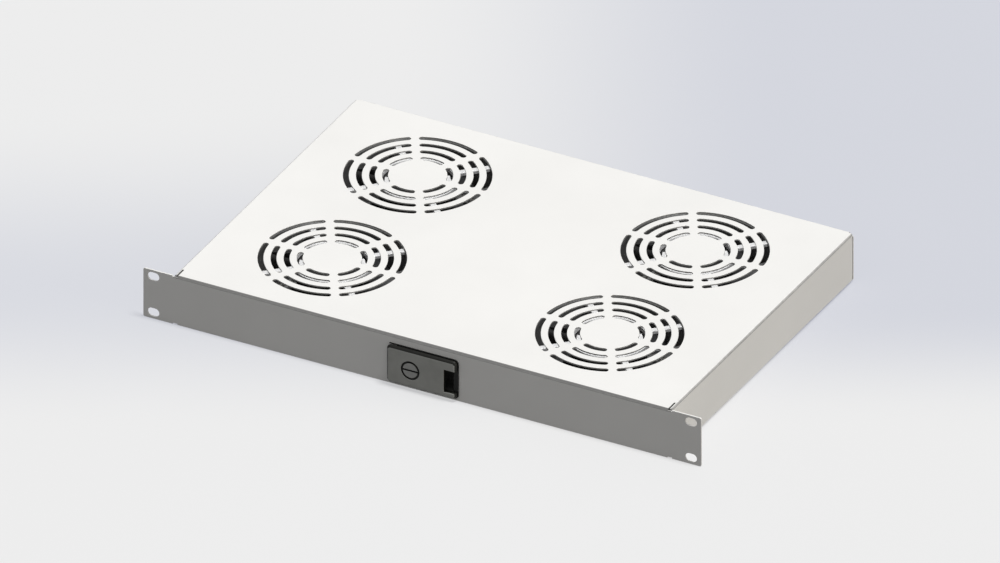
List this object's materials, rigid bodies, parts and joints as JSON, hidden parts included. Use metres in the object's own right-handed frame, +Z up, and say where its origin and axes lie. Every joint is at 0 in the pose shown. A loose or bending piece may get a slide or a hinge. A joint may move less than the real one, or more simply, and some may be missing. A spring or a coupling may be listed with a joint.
{
  "type": "rack fan tray",
  "caption": "One-unit fan tray for a nineteen inch rack: folded cover with ring grilles, axial fans blowing up, slotted ears, flush coin-lock pull latch, rear mains inlet.",
  "frame": {"origin": "centre of the four rack slots, on the front face of the panel", "axes": "+X to the right seen from the front, +Y to the back of the rack, +Z up, the way the air leaves"},
  "size_m": [0.4826, 0.3081, 0.043],
  "materials": {
    "cover_paint": "fine powder coat, light warm grey",
    "pan_steel": "zinc-plated sheet",
    "screw_steel": "zinc-plated",
    "fan_cast": "satin black paint on a casting",
    "bracket_metal": "bare, satin",
    "impeller_black": "moulded, matt",
    "shaft_steel": "ground",
    "bearing_bronze": "sintered bronze",
    "stator_iron": "varnished iron and wire",
    "terminal_metal": "tin-plated",
    "latch_black": "moulded, matt",
    "latch_grey": "satin grey",
    "lock_metal": "satin grey",
    "latch_steel": "zinc-plated",
    "spring_steel": "bright wire",
    "inlet_black": "moulded",
    "duct_grey": "moulded",
    "lead_black": "soft insulation",
    "block_white": "moulded"
  },
  "bodies": {
    "tray": {"top_cover": "cover_paint", "base_pan": "pan_steel", "fan_screws": "screw_steel", "rear_screws": "screw_steel", "fan_bearings": "bearing_bronze", "fan_stators": "stator_iron", "fan_terminals": "terminal_metal", "latch_housing": "latch_black", "latch_retainer": "latch_steel", "latch_pin": "latch_steel", "latch_spring": "spring_steel", "latch_keeper": "pan_steel", "keeper_rivets": "screw_steel", "power_inlet": "inlet_black", "inlet_pins": "terminal_metal", "inlet_screws": "screw_steel", "wire_duct": "duct_grey", "duct_lid": "duct_grey", "terminal_block": "block_white", "fan_frame_1": "fan_cast", "motor_bracket_1": "bracket_metal", "fan_frame_2": "fan_cast", "motor_bracket_2": "bracket_metal", "fan_frame_3": "fan_cast", "motor_bracket_3": "bracket_metal", "fan_frame_4": "fan_cast", "motor_bracket_4": "bracket_metal", "fan_leads": "lead_black", "mains_cores": "lead_black"},
    "paddle": {"latch_paddle": "latch_grey"},
    "lock": {"lock_plug": "lock_metal", "lock_cam": "latch_steel", "lock_screw": "screw_steel"},
    "bolt": {"latch_bolt": "latch_steel"},
    "rotor_1": {"impeller_1": "impeller_black", "fan_shaft_1": "shaft_steel"},
    "rotor_2": {"impeller_2": "impeller_black", "fan_shaft_2": "shaft_steel"},
    "rotor_3": {"impeller_3": "impeller_black", "fan_shaft_3": "shaft_steel"},
    "rotor_4": {"impeller_4": "impeller_black", "fan_shaft_4": "shaft_steel"}
  },
  "joints": [
    {"name": "fan_spin_1", "type": "hinge", "parent": "tray", "child": "rotor_1", "pos_m": [-0.12, 0.08, 0], "axis": [0, 0, 1], "continuous": true},
    {"name": "fan_spin_2", "type": "hinge", "parent": "tray", "child": "rotor_2", "pos_m": [0.12, 0.08, 0], "axis": [0, 0, 1], "continuous": true},
    {"name": "fan_spin_3", "type": "hinge", "parent": "tray", "child": "rotor_3", "pos_m": [-0.12, 0.22, 0], "axis": [0, 0, 1], "continuous": true},
    {"name": "fan_spin_4", "type": "hinge", "parent": "tray", "child": "rotor_4", "pos_m": [0.12, 0.22, 0], "axis": [0, 0, 1], "continuous": true},
    {"name": "paddle_swing", "type": "hinge", "parent": "tray", "child": "paddle", "pos_m": [-0.0234, 0.003, -0.0025], "axis": [0, 0, -1], "range_deg": [0, 20], "stiffness_Nm_per_rad": 0.06, "springref_deg": -14.32},
    {"name": "lock_turn", "type": "hinge", "parent": "paddle", "child": "lock", "pos_m": [-0.0084, 0, -0.0035], "axis": [0, 1, 0], "range_deg": [-90, 0]},
    {"name": "bolt_slide", "type": "slide", "parent": "tray", "child": "bolt", "axis": [1, 0, 0], "range_m": [0, 0.0032]}
  ],
  "couplings": [
    {"joint": "bolt_slide", "follows": "paddle_swing", "m_per_rad": 0.00882}
  ]
}
